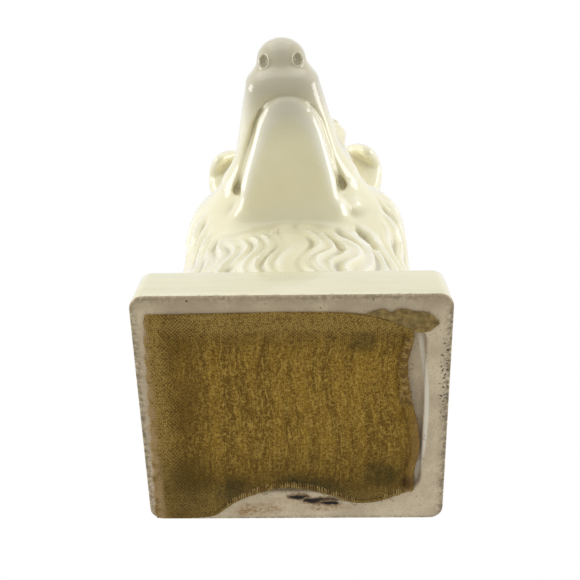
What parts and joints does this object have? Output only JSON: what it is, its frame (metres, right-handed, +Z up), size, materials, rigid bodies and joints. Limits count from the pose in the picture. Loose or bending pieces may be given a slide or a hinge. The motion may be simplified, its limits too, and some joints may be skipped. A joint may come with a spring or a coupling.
{
  "type": "dog head bookend",
  "caption": "Glazed ceramic bookend: the head and ruff of a long-coated sheepdog on an oblong base, with a woven cloth pad under it and a flat back for the books.",
  "frame": {"origin": "on the underside of the cloth pad, below the middle of the base", "axes": "+Z up, the dog looks along -Y, the flat back that the books lean on faces +Y"},
  "size_m": [0.0998, 0.1348, 0.1508],
  "materials": {
    "cream_glaze": "glossy cream glaze, unglazed under the base",
    "pad_cloth": "worn plain weave"
  },
  "bodies": {
    "root": {"dog_bust": "cream_glaze", "base_pad": "pad_cloth"}
  },
  "joints": []
}
